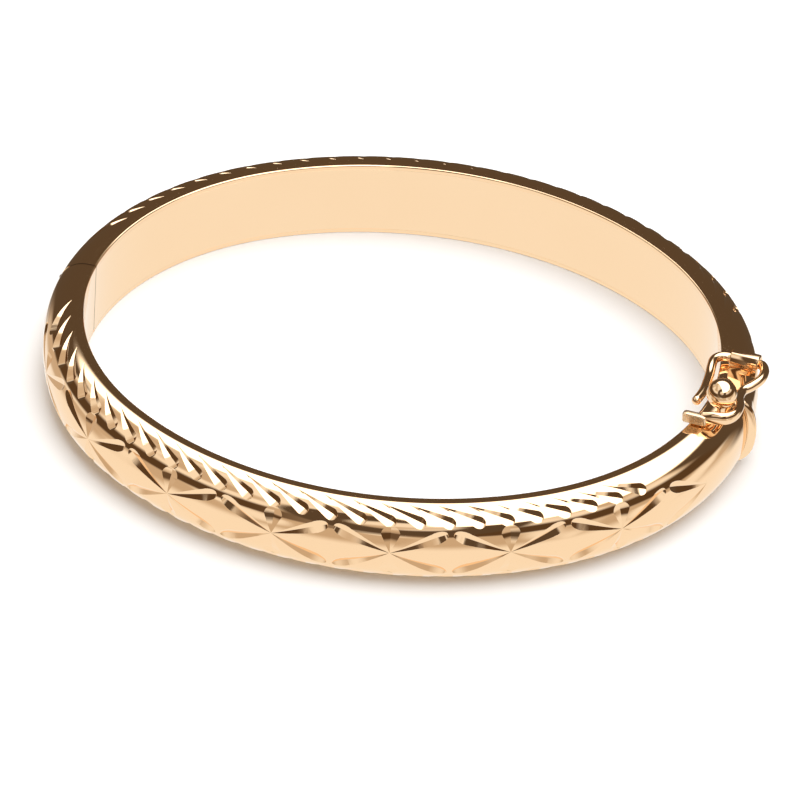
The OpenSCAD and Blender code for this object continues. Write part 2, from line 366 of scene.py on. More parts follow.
@dataclass(frozen=True)
class Oval:
    """Four-arc oval of the inner wall: its arcs' centres and the middle make a 3-4-5 triangle."""

    half_length: float
    half_width: float

    @property
    def end_radius(self) -> float:
        """Radius of the arcs at the hinge and the clasp."""
        return (3 * self.half_width - self.half_length) / 2

    @property
    def end_centre(self) -> float:
        """Distance of the end arcs' centres from the middle."""
        return self.half_length - self.end_radius

    @property
    def side_centre(self) -> float:
        """Distance of the side arcs' centres from the middle."""
        return self.end_centre * 4 / 3

    @property
    def side_radius(self) -> float:
        """Radius of the arcs at the front and the back."""
        return self.half_width + self.side_centre

    @property
    def meet_angle(self) -> float:
        """Angle at which an end arc meets a side arc."""
        return math.atan2(4, 3)

    def half_turn(self, offset: float) -> float:
        """Length of half the oval on the line that lies offset outside the inner wall."""
        side = (self.side_radius + offset) * (math.pi / 2 - self.meet_angle)
        return 2 * ((self.end_radius + offset) * self.meet_angle + side)

    def station(self, run: float, offset: float) -> tuple[Point2, float, float]:
        """The arc that a place on the oval lies on.

        Args:
            run: Distance from the clasp, clockwise seen from above, over the front half first.
            offset: Distance outside the inner wall of the line that run is measured on.

        Returns:
            Centre of the arc, its radius at the inner wall, and the angle of the place.
        """
        end = (self.end_radius + offset) * self.meet_angle
        half = self.half_turn(offset)
        turned = math.pi * (run // half)
        run = run % half
        sign = 1 if math.cos(turned) > 0 else -1
        if run <= end:
            angle = run / (self.end_radius + offset)
            return (sign * self.end_centre, 0.0), self.end_radius, -turned - angle
        if run < half - end:
            angle = self.meet_angle + (run - end) / (self.side_radius + offset)
            return (0.0, sign * self.side_centre), self.side_radius, -turned - angle
        angle = math.pi - (half - run) / (self.end_radius + offset)
        return (-sign * self.end_centre, 0.0), self.end_radius, -turned - angle

    def radial(self, x: np.ndarray, y: np.ndarray) -> tuple[np.ndarray, np.ndarray, np.ndarray]:
        """Distance outside the inner wall, and the outward direction, of points in the plane.

        Args:
            x: Their places along the oval's long way.
            y: Their places along its short way.

        Returns:
            Offsets, and the two components of the outward unit vectors.
        """
        at_end = np.abs(y) < (np.abs(x) - self.end_centre) * math.tan(self.meet_angle)
        cx = np.where(at_end, np.sign(x) * self.end_centre, 0.0)
        cy = np.where(at_end, 0.0, -np.sign(y) * self.side_centre)
        radius = np.where(at_end, self.end_radius, self.side_radius)
        reach = np.hypot(x - cx, y - cy)
        return reach - radius, (x - cx) / reach, (y - cy) / reach


@dataclass(frozen=True)
class BandSection:
    """D-shaped section of the band: offset runs outwards, height up from the lower rim."""

    width: float
    thickness: float
    crown_radius: float = 8.1
    shoulder_radius: float = 2.8
    wall: float = 0.45
    rim_round: float = 0.13

    @property
    def half(self) -> float:
        """Half of the band's width."""
        return self.width / 2

    @property
    def shoulder_rise(self) -> float:
        """Height of a shoulder's centre over the middle of the band."""
        return self.half - self.shoulder_radius

    @property
    def crown_centre(self) -> float:
        """Offset of the crown's centre."""
        return self.thickness - self.crown_radius

    @property
    def rim_land(self) -> float:
        """Width of the flat rim, which is the offset of a shoulder's centre."""
        reach = (self.crown_radius - self.shoulder_radius) ** 2 - self.shoulder_rise**2
        return self.crown_centre + math.sqrt(reach)

    @property
    def crown_angle(self) -> float:
        """Angle at which the crown goes over into a shoulder."""
        return math.atan2(self.shoulder_rise, self.rim_land - self.crown_centre)

    def at(self, across: float) -> tuple[Point2, Point2]:
        """A place on the outer face.

        Args:
            across: Distance over the face from the middle of the crown, upwards positive.

        Returns:
            The place and the outward normal, each as (offset, height over the middle).
        """
        side = -1.0 if across < 0 else 1.0
        run = abs(across)
        crown_run = self.crown_radius * self.crown_angle
        if run <= crown_run:
            a = run / self.crown_radius
            place = (self.crown_centre + self.crown_radius * math.cos(a), self.crown_radius * math.sin(a))
        else:
            a = min(self.crown_angle + (run - crown_run) / self.shoulder_radius, math.pi / 2)
            rise = self.shoulder_rise + self.shoulder_radius * math.sin(a)
            place = (self.rim_land + self.shoulder_radius * math.cos(a), rise)
        return (place[0], side * place[1]), (math.cos(a), side * math.sin(a))

    def shell_outline(self) -> list[Point2]:
        """Closed outline of the sheet, open towards the inner wall.

        Returns:
            Points as (offset, height over the lower rim).
        """
        inner_half = self.half - self.wall
        crown, land = (self.crown_centre, 0.0), (self.rim_land, self.shoulder_rise)
        round_centre = (self.rim_round, self.half - self.rim_round)
        outer = arc(crown, self.crown_radius, 0, self.crown_angle, 4)
        outer += arc(land, self.shoulder_radius, self.crown_angle, math.pi / 2, 26)[1:]
        outer += arc(round_centre, self.rim_round, math.pi / 2, math.pi, 5)
        outer += [(0.0, inner_half)]
        inner = arc(land, self.shoulder_radius - self.wall, math.pi / 2, self.crown_angle, 9)
        inner += arc(crown, self.crown_radius - self.wall, self.crown_angle, 0, 2)[1:]
        upper = outer + inner
        lower = [(x, -h) for x, h in reversed(upper[1:-1])]
        return [(x, self.half + h) for x, h in upper + lower]

    def surface(self, offset: np.ndarray, height: np.ndarray) -> tuple[np.ndarray, np.ndarray, np.ndarray]:
        """Distance from the outer face, and its normal, for points in the section.

        Args:
            offset: Offsets of the points.
            height: Their heights over the lower rim.

        Returns:
            Signed distances, and the normals' offset and height components.
        """
        side = np.where(height < self.half, -1.0, 1.0)
        h = np.abs(height - self.half)
        on_crown = np.arctan2(h, offset - self.crown_centre) < self.crown_angle
        on_shoulder = ~on_crown & (offset >= self.rim_land)
        on_round = (offset < self.rim_round) & (h > self.half - self.rim_round)
        on_wall = (offset < self.rim_round) & ~on_round
        parts = [on_crown, on_shoulder, on_round]
        cx = np.select(parts, [self.crown_centre, self.rim_land, self.rim_round], offset)
        ch = np.select(parts, [0.0, self.shoulder_rise, self.half - self.rim_round])
        radius = np.select(parts, [self.crown_radius, self.shoulder_radius, self.rim_round], self.half)
        reach = np.maximum(np.hypot(offset - cx, h - ch), 1e-6)
        distance = np.where(on_wall, -offset, reach - radius)
        n_offset = np.where(on_wall, -1.0, (offset - cx) / reach)
        n_height = np.where(on_wall, 0.0, (h - ch) / reach * side)
        return distance, n_offset, n_height


@dataclass(frozen=True)
class Band:
    """The band as a section swept along the oval."""

    oval: Oval
    section: BandSection
    seam: float

    @classmethod
    def from_frame(cls) -> "Band":
        """Reads the band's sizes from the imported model's boxes.

        Returns:
            The band.
        """
        shell_low, shell_high = box_mm("back_shell")
        _, wall_high = box_mm("back_inner_band")
        seam = shell_low.y
        wall = BandSection.wall
        thickness = shell_high.y - (wall_high.y - wall)
        oval = Oval(round(shell_high.x - thickness, 2), round(wall_high.y - wall, 2))
        return cls(oval, BandSection(round(shell_high.z, 2), round(thickness, 2)), seam)

    @property
    def half_run(self) -> float:
        """Length of one half along the middle of the crown."""
        return self.oval.half_turn(self.section.thickness)

    def place(self, run: float, offset: float, height: float) -> Vector:
        """A point on or beside the band.

        Args:
            run: Distance along the crown from the clasp, over the front half first.
            offset: Distance outside the inner wall.
            height: Height over the lower rim.

        Returns:
            The point.
        """
        centre, radius, angle = self.oval.station(run, self.section.thickness)
        reach = radius + offset
        return Vector((centre[0] + reach * math.cos(angle), centre[1] + reach * math.sin(angle), height))

    def sweep(self, name: str, outline: Sequence[Point2], front: bool, steps: int = 132) -> Piece:
        """A section swept over one half of the oval, cut square at the seams.

        Args:
            name: Name of the object.
            outline: Closed outline as (offset, height).
            front: Whether it is the front half.
            steps: Number of steps along the half.

        Returns:
            The swept solid.
        """
        first = 0.0 if front else self.half_run
        side = -1.0 if front else 1.0
        rings = []
        for i in range(steps + 1):
            run = first + self.half_run * i / steps
            rings.append([self.place(run, offset, height) for offset, height in outline])
        for ring in (rings[0], rings[-1]):
            for v in ring:
                sign = math.copysign(1.0, v.x)
                reach = abs(v.x) - self.oval.end_centre
                v.x = sign * (self.oval.end_centre + math.sqrt(reach**2 - self.seam**2))
                v.y = side * self.seam
        return loft(name, rings)

    def shade(self, mesh: bpy.types.Mesh) -> None:
        """Gives the polished face its true normals and leaves each cut its own facets.

        Args:
            mesh: An engraved shell, in millimetres.
        """
        mesh.shade_smooth()
        mesh.set_sharp_from_angle(angle=FACET_ANGLE)
        count = len(mesh.loops)
        verts = np.empty(len(mesh.vertices) * 3)
        mesh.vertices.foreach_get("co", verts)
        verts = verts.reshape(-1, 3)
        corner_vert = np.empty(count, dtype=np.int32)
        mesh.loops.foreach_get("vertex_index", corner_vert)
        normals = np.empty(count * 3)
        mesh.corner_normals.foreach_get("vector", normals)
        normals = normals.reshape(-1, 3)
        sizes = np.empty(len(mesh.polygons), dtype=np.int32)
        mesh.polygons.foreach_get("loop_total", sizes)
        face_normals = np.empty(len(mesh.polygons) * 3)
        mesh.polygons.foreach_get("normal", face_normals)
        face_of_corner = np.repeat(np.arange(len(sizes)), sizes)

        points = verts[corner_vert]
        offset, rx, ry = self.oval.radial(points[:, 0], points[:, 1])
        distance, n_offset, n_height = self.section.surface(offset, points[:, 2])
        true = np.stack([n_offset * rx, n_offset * ry, n_height], axis=1)
        facing = np.sum(true * face_normals.reshape(-1, 3)[face_of_corner], axis=1)
        fits = (np.abs(distance) < SKIN_GAP) & (facing > math.cos(SKIN_ANGLE))
        on_skin = np.ones(len(sizes), dtype=bool)
        np.logical_and.at(on_skin, face_of_corner, fits)
        use = on_skin[face_of_corner]
        normals[use] = true[use]
        mesh.normals_split_custom_set([tuple(n) for n in normals])


# ---- diamond cuts ----------------------------------------------------------


@dataclass(frozen=True)
class Groove:
    """One V-shaped diamond cut: pointed where the tool comes in, rounded where it leaves."""

    start: Point2
    end: Point2
    depth: float
    slope: float
    swell: float = 0.8
    lift: float = 0.05

    def depth_at(self, u: float) -> float:
        """Depth of the cut along its length.

        Args:
            u: Fraction of the length.

        Returns:
            The depth there.
        """
        if u <= self.swell:
            return self.depth * u / self.swell
        return self.depth * math.sqrt(max(0.0, 1 - ((u - self.swell) / (1 - self.swell)) ** 2))

    def stations(self) -> list[tuple[float, float]]:
        """Places along the cut, lifted clear of the face at both ends.

        Returns:
            Fractions of the length with the depth there.
        """
        rise = [self.swell * (i / 10) for i in range(1, 11)]
        fall = [self.swell + (1 - self.swell) * math.sin(math.pi / 2 * i / 8) for i in range(1, 8)]
        clear = -0.8 * self.lift
        inner = [(u, self.depth_at(u)) for u in rise + fall]
        return [(-0.04, clear), (0.0, 0.0), *inner, (1.0, 0.0), (1.004, clear)]

    def solid(self, name: str, section: BandSection) -> Piece:
        """The cutter at the origin of a straight strip: X along the band, Y outwards, Z up.

        Args:
            name: Name of the object.
            section: Section whose outer face the cut follows.

        Returns:
            The cutter's object.
        """
        along = Vector((self.end[0] - self.start[0], self.end[1] - self.start[1])).normalized()
        rings = []
        for u, depth in self.stations():
            x = self.start[0] + (self.end[0] - self.start[0]) * u
            across = self.start[1] + (self.end[1] - self.start[1]) * u
            (offset, height), (n_offset, n_height) = section.at(across)
            normal = Vector((0.0, n_offset, n_height))
            side = Vector((-along.y, -n_height * along.x, n_offset * along.x))
            foot = Vector((x, offset - section.thickness, height + section.half))
            reach = side * (self.slope * (depth + self.lift))
            top = foot + normal * self.lift
            rings.append([foot - normal * depth, top + reach, top - reach])
        return loft(name, rings)


class EngravingPattern:
    """Geometry Nodes tree that repeats one cutter along a strip and wraps it round the band."""

    def __init__(self, band: Band) -> None:
        """Draws the guide along the middle of the crown and builds the tree.

        Args:
            band: The band that the pattern goes round.
        """
        self.band = band
        self.guide = self._draw_guide()
        self.tree = self._build_tree()

    def _draw_guide(self) -> Piece:
        """Draws a closed line round the middle of the crown, clockwise from the clasp.

        Returns:
            The line's object.
        """
        curve = bpy.data.curves.new("crown_line", "CURVE")
        curve.dimensions = "3D"
        spline = curve.splines.new("POLY")
        steps = 720
        spline.points.add(steps)
        for i in range(steps + 1):
            run = min(2 * self.band.half_run * i / steps, 2 * self.band.half_run - 1e-6)
            place = self.band.place(run, self.band.section.thickness, 0.0)
            spline.points[i].co = (*place, 1.0)
        guide = bpy.data.objects.new("crown_line", curve)
        bpy.context.scene.collection.objects.link(guide)
        return guide

    def _build_tree(self) -> Tree:
        """Builds the pattern: a mesh line, instances, and their points laid round the guide.

        Returns:
            The Geometry Nodes group.
        """
        tree, given = pattern_tree("engraving_pattern", (
            ("Geometry", "Geometry"), ("Guide", "Object"), ("Count", "Int"), ("First", "Float"),
            ("Pitch", "Float"), ("Material", "Material"),
        ))
        start = node_link(tree, "ShaderNodeCombineXYZ", X=given["First"]).outputs[0]
        step = node_link(tree, "ShaderNodeCombineXYZ", X=given["Pitch"]).outputs[0]
        line = node_link(
            tree, "GeometryNodeMeshLine", Count=given["Count"], Start_Location=start, Offset=step
        )
        spread = node_link(
            tree, "GeometryNodeInstanceOnPoints", Points=line.outputs[0], Instance=given["Geometry"]
        )
        solid = node_link(tree, "GeometryNodeRealizeInstances", Geometry=spread.outputs[0])
        where = tree.nodes.new("GeometryNodeInputPosition").outputs[0]
        parts = node_link(tree, "ShaderNodeSeparateXYZ", Vector=where).outputs
        crown = node_link(tree, "GeometryNodeObjectInfo", Object=given["Guide"])
        sample = tree.nodes.new("GeometryNodeSampleCurve")
        sample.mode = "LENGTH"
        tree.links.new(crown.outputs["Geometry"], sample.inputs["Curves"])
        tree.links.new(parts["X"], sample.inputs["Length"])
        outward = vector_node(tree, "CROSS_PRODUCT", (0.0, 0.0, 1.0), sample.outputs["Tangent"])
        outward = vector_node(tree, "NORMALIZE", outward.outputs[0], (0.0, 0.0, 0.0))
        shift = tree.nodes.new("ShaderNodeVectorMath")
        shift.operation = "SCALE"
        tree.links.new(outward.outputs[0], shift.inputs[0])
        tree.links.new(parts["Y"], shift.inputs["Scale"])
        rise = node_link(tree, "ShaderNodeCombineXYZ", Z=parts["Z"]).outputs[0]
        flat = vector_node(tree, "ADD", sample.outputs["Position"], shift.outputs[0])
        target = vector_node(tree, "ADD", flat.outputs[0], rise)
        laid = node_link(
            tree, "GeometryNodeSetPosition", Geometry=solid.outputs[0], Position=target.outputs[0]
        )
        close_pattern(tree, laid.outputs[0], given["Material"])
        return tree

    def spread(self, groove: "Groove | Flute", first: float, pitch: float, count: int,
               material: Metal) -> Piece:
        """Repeats a groove along the band.

        Args:
            groove: The cut.
            first: Distance of the first one from the clasp, over the front half.
            pitch: Distance from one to the next.
            count: How many there are.
            material: Material that the cutter carries.

        Returns:
            One object with all the cutters in place.
        """
        cutter = groove.solid("cutter", self.band.section)
        run_pattern(cutter, self.tree, {
            "Guide": self.guide, "Count": count, "First": first, "Pitch": pitch, "Material": material,
        })
        return cutter

    def close(self) -> None:
        """Removes the guide, which is only a help line."""
        bpy.data.objects.remove(self.guide)


@dataclass(frozen=True)
class Flute:
    """One slanting flute: pointed at the rim, two facets along a valley, and a round foot."""

    start: Point2
    end: Point2
    width: float
    mirror: int
    depth: float = 0.25
    valley: float = 0.1
    round_from: float = 0.86
    lift: float = 0.05

    def stations(self) -> list[tuple[float, float]]:
        """Places along the flute.

        Returns:
            Fractions of the length, with the share of the full width there.
        """
        rise, fall = 14, 8
        even = [(self.round_from * i / rise, i / rise) for i in range(1, rise + 1)]
        tail = []
        for i in range(1, fall + 1):
            a = math.pi / 2 * i / (fall + 0.4)
            tail.append((self.round_from + (1 - self.round_from) * math.sin(a), math.cos(a)))
        return [(0.0, 0.02), *even, *tail]

    def solid(self, name: str, section: BandSection) -> Piece:
        """The cutter at the origin of a straight strip: X along the band, Y outwards, Z up.

        Args:
            name: Name of the object.
            section: Section whose outer face the cut follows.

        Returns:
            The cutter's object.
        """
        along = Vector((self.end[0] - self.start[0], self.end[1] - self.start[1])).normalized()
        side = Vector((along.y, -along.x)) * self.mirror

        def on_face(u: float, share: float, height: float) -> Vector:
            """A point over the face, beside the flute's middle line.

            Args:
                u: Fraction of the length.
                share: Distance beside the line, as a share of the full width.
                height: Height over the face.

            Returns:
                The point on the straight strip.
            """
            x = self.start[0] + (self.end[0] - self.start[0]) * u + side.x * self.width * share
            across = self.start[1] + (self.end[1] - self.start[1]) * u + side.y * self.width * share
            (offset, rise), (n_offset, n_rise) = section.at(across)
            return Vector((x, offset - section.thickness + n_offset * height,
                           rise + section.half + n_rise * height))

        rings = []
        for u, full in self.stations():
            edge = 0.495 * full
            rings.append([
                on_face(u, self.valley * full, -self.depth * full),
                on_face(u, edge, 0.0),
                on_face(u, edge, self.lift),
                on_face(u, self.valley * full, self.lift),
                on_face(u, -edge, self.lift),
                on_face(u, -edge, 0.0),
            ])
        return loft(name, rings)


@dataclass(frozen=True)
class StarAndFlutes:
    """The engraving of one half: a row of six-pointed stars between two rows of slanting flutes."""

    star_pitch: float = 11.25
    stars: int = 7
    first_star: float = 20.2
    petal_reach: float = 5.35
    petal_rise: float = 2.15
    petal_depth: float = 0.28
    petal_slope: float = 2.5
    leaf_reach: float = 2.75
    leaf_depth: float = 0.27
    leaf_slope: float = 3.3
    flutes_per_star: int = 4
    flutes: int = 27
    first_flute: float = 19.2
    flute_lean: float = 4.5
    flute_top: float = 5.05
    flute_foot: float = 2.9

    def rows(self) -> list[tuple["Groove | Flute", float, float, int]]:
        """The rows of cuts, none of which overlaps itself.

        Returns:
            Rows as (groove, first place, pitch, count).
        """
        rows = []
        for along in (-1, 1):
            for up in (-1, 1):
                end = (along * self.petal_reach, up * self.petal_rise)
                petal = Groove((0.0, 0.0), end, self.petal_depth, self.petal_slope)
                extra = 1 if along > 0 else 0
                first = self.first_star - extra * self.star_pitch
                rows.append((petal, first, self.star_pitch, self.stars + extra))
        for up in (-1, 1):
            leaf = Groove((0.0, 0.0), (0.0, up * self.leaf_reach), self.leaf_depth, self.leaf_slope, 0.7)
            rows.append((leaf, self.first_star, self.star_pitch, self.stars))
        spacing = self.star_pitch / self.flutes_per_star
        lean = math.hypot(self.flute_lean, self.flute_top - self.flute_foot)
        width = spacing * (self.flute_top - self.flute_foot) / lean
        for up in (-1, 1):
            start = (self.flute_lean / 2, up * self.flute_top)
            end = (-self.flute_lean / 2, up * self.flute_foot)
            flute = Flute(start, end, width, up)
            for odd in (0, 1):
                first = self.first_flute + odd * spacing
                rows.append((flute, first, 2 * spacing, (self.flutes + 1 - odd) // 2))
        return rows


# ---- finishes --------------------------------------------------------------


class Slot(Enum):
    """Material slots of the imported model."""

    POLISHED = "polished_gold"
    INNER = "inner_gold"
    FITTING = "fitting_gold"
    SPRING = "spring_gold"
    WIRE = "wire_gold"
    TEXTURED = "textured_gold"


Finishes = dict[Slot, Metal]


class SurfaceGroups:
    """Shader node groups that several gold finishes share."""

    def __init__(self) -> None:
        """Builds each group once."""
        self.hairlines = self._hairlines()
        self.handling = self._handling()

    @staticmethod
    def _shell(name: str, inputs: Sequence[tuple[str, str, float]], outputs: Sequence[tuple[str, str]]
               ) -> Tree:
        """An empty shader group with its sockets.

        Args:
            name: Name of the group.
            inputs: Name, socket type and default of each input.
            outputs: Name and socket type of each output.

        Returns:
            The group.
        """
        tree = bpy.data.node_groups.new(name, "ShaderNodeTree")
        for label, kind, value in inputs:
            socket = tree.interface.new_socket(label, in_out="INPUT", socket_type=kind)
            if kind == "NodeSocketFloat":
                socket.default_value = value
        for label, kind in outputs:
            tree.interface.new_socket(label, in_out="OUTPUT", socket_type=kind)
        return tree

    def _hairlines(self) -> Tree:
        """Builds fine polishing lines and scratches that run round the band.

        Returns:
            The shader group.
        """
        tree = self._shell(
            "hairline_scratches",
            [("Vector", "NodeSocketVector", 0.0), ("Scale", "NodeSocketFloat", 900.0),
             ("Stretch", "NodeSocketFloat", 14.0), ("Amount", "NodeSocketFloat", 0.5)],
            [("Height", "NodeSocketFloat"), ("Mask", "NodeSocketFloat")],
        )
        given = tree.nodes.new("NodeGroupInput").outputs
        stretch = node_link(tree, "ShaderNodeCombineXYZ", X=1.0, Y=1.0, Z=given["Stretch"]).outputs[0]
        drawn = vector_node(tree, "MULTIPLY", given["Vector"], stretch).outputs[0]
        grain = node_link(tree, "ShaderNodeTexNoise", Vector=drawn, Scale=given["Scale"], Detail=6.0)
        lines = node_link(tree, "ShaderNodeTexNoise", Vector=drawn, Scale=given["Scale"], Detail=2.0)
        ridge = math_node(tree, "ABSOLUTE", math_node(tree, "SUBTRACT", lines.outputs[0], 0.5))
        thin = math_node(tree, "LESS_THAN", ridge, 0.006)
        mask = math_node(tree, "MULTIPLY", thin, given["Amount"])
        fine = math_node(tree, "MULTIPLY", grain.outputs[0], given["Amount"])
        height = math_node(tree, "SUBTRACT", fine, mask)
        out = tree.nodes.new("NodeGroupOutput")
        tree.links.new(height, out.inputs["Height"])
        tree.links.new(mask, out.inputs["Mask"])
        return tree

    def _handling(self) -> Tree:
        """Builds soft clouds of handling haze with a few specks of dust.

        Returns:
            The shader group.
        """
        tree = self._shell(
            "handling_haze",
            [("Vector", "NodeSocketVector", 0.0), ("Cloud Scale", "NodeSocketFloat", 120.0),
             ("Speck Scale", "NodeSocketFloat", 2600.0), ("Speck Amount", "NodeSocketFloat", 0.5)],
            [("Cloud", "NodeSocketFloat"), ("Specks", "NodeSocketFloat")],
        )
        given = tree.nodes.new("NodeGroupInput").outputs
        cloud = node_link(
            tree, "ShaderNodeTexNoise", Vector=given["Vector"], Scale=given["Cloud Scale"], Detail=4.0
        )
        cells = node_link(tree, "ShaderNodeTexVoronoi", Vector=given["Vector"], Scale=given["Speck Scale"])
        near = math_node(tree, "LESS_THAN", cells.outputs["Distance"], 0.12)
        patch = math_node(tree, "GREATER_THAN", cloud.outputs[0], 0.6)
        dusty = math_node(tree, "MULTIPLY", near, patch)
        specks = math_node(tree, "MULTIPLY", dusty, given["Speck Amount"])
        out = tree.nodes.new("NodeGroupOutput")
        tree.links.new(cloud.outputs[0], out.inputs["Cloud"])
        tree.links.new(specks, out.inputs["Specks"])
        return tree


@dataclass(frozen=True)
class GoldFinish:
    """One finish of the gold."""

    slot: Slot
    colour: tuple[float, float, float]
    deep_colour: tuple[float, float, float]
    roughness: float
    haze: float = 0.03
    hairlines: float = 0.3
    line_scale: float = 700.0
    relief: float = 0.02
    specks: float = 0.4
    scratch_roughness: float = 0.12
    speck_roughness: float = 0.25
    relief_depth: float = 0.00002

    def make(self, groups: SurfaceGroups) -> Metal:
        """Builds the material.

        Args:
            groups: The shared node groups.

        Returns:
            The material, named after its slot.
        """
        material = bpy.data.materials.new(self.slot.value)
        material.use_nodes = True
        tree = material.node_tree
        tree.nodes.clear()
        place = tree.nodes.new("ShaderNodeTexCoord").outputs["Object"]
        lines = tree.nodes.new("ShaderNodeGroup")
        lines.node_tree = groups.hairlines
        tree.links.new(place, lines.inputs["Vector"])
        lines.inputs["Scale"].default_value = self.line_scale
        lines.inputs["Amount"].default_value = self.hairlines
        haze = tree.nodes.new("ShaderNodeGroup")
        haze.node_tree = groups.handling
        tree.links.new(place, haze.inputs["Vector"])
        haze.inputs["Speck Amount"].default_value = self.specks

        tint = blend_node(tree, haze.outputs["Cloud"], (*self.colour, 1.0), (*self.deep_colour, 1.0))
        clouded = math_node(tree, "MULTIPLY_ADD", haze.outputs["Cloud"], self.haze, self.roughness)
        scored = math_node(tree, "MULTIPLY_ADD", lines.outputs["Mask"], self.scratch_roughness, clouded)
        rough = math_node(tree, "MULTIPLY_ADD", haze.outputs["Specks"], self.speck_roughness, scored)
        bump = node_link(tree, "ShaderNodeBump", Height=lines.outputs["Height"])
        bump.inputs["Strength"].default_value = self.relief
        bump.inputs["Distance"].default_value = self.relief_depth
        shader = tree.nodes.new("ShaderNodeBsdfPrincipled")
        shader.inputs["Metallic"].default_value = 1.0
        tree.links.new(tint, shader.inputs["Base Color"])
        tree.links.new(rough, shader.inputs["Roughness"])
        tree.links.new(bump.outputs[0], shader.inputs["Normal"])
        out = tree.nodes.new("ShaderNodeOutputMaterial")
        tree.links.new(shader.outputs[0], out.inputs["Surface"])
        return material


def make_finishes() -> Finishes:
    """Makes all the gold finishes.

    Returns:
        The materials by slot.
    """
    groups = SurfaceGroups()
    bright, deep = (0.985, 0.715, 0.455), (0.975, 0.69, 0.425)
    finishes = [
        GoldFinish(Slot.POLISHED, bright, deep, 0.02, haze=0.03, hairlines=0.25),
        GoldFinish(Slot.INNER, (0.985, 0.73, 0.48), (0.975, 0.71, 0.455), 0.05, haze=0.05, hairlines=0.5),
        GoldFinish(Slot.FITTING, bright, deep, 0.04, haze=0.05, hairlines=0.3),
        GoldFinish(Slot.SPRING, (0.95, 0.68, 0.41), (0.92, 0.63, 0.36), 0.16, haze=0.1, relief=0.1),
        GoldFinish(Slot.WIRE, bright, (0.97, 0.67, 0.40), 0.03, haze=0.03, hairlines=0.4, line_scale=1400.0),
        GoldFinish(Slot.TEXTURED, (0.93, 0.72, 0.48), (0.86, 0.62, 0.38), 0.2, haze=0.15, relief=0.25),
    ]
    return {finish.slot: finish.make(groups) for finish in finishes}


def dress(piece: Piece, material: Metal) -> None:
    """Puts one material on a whole piece.

    Args:
        piece: The piece.
        material: Its material.
    """
    piece.data.materials.clear()
    piece.data.materials.append(material)
    indices = np.zeros(len(piece.data.polygons), dtype=np.int32)
    piece.data.polygons.foreach_set("material_index", indices)


def hand_over(piece: Piece, slot: Slot, finishes: Finishes, body: str,
              *stands_for: str) -> None:
    """Dresses a finished piece and gives it to its body.

    Args:
        piece: The piece, in metres.
        slot: Its material slot.
        finishes: The materials by slot.
        body: The body that it rides on.
        *stands_for: CAD nodes that it replaces.
    """
    dress(piece, finishes[slot])
    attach(piece, body)
    if stands_for:
        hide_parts(*stands_for)
    LOG.info("%s: %d faces on %s", piece.name, len(piece.data.polygons), body)


# ---- the two halves --------------------------------------------------------


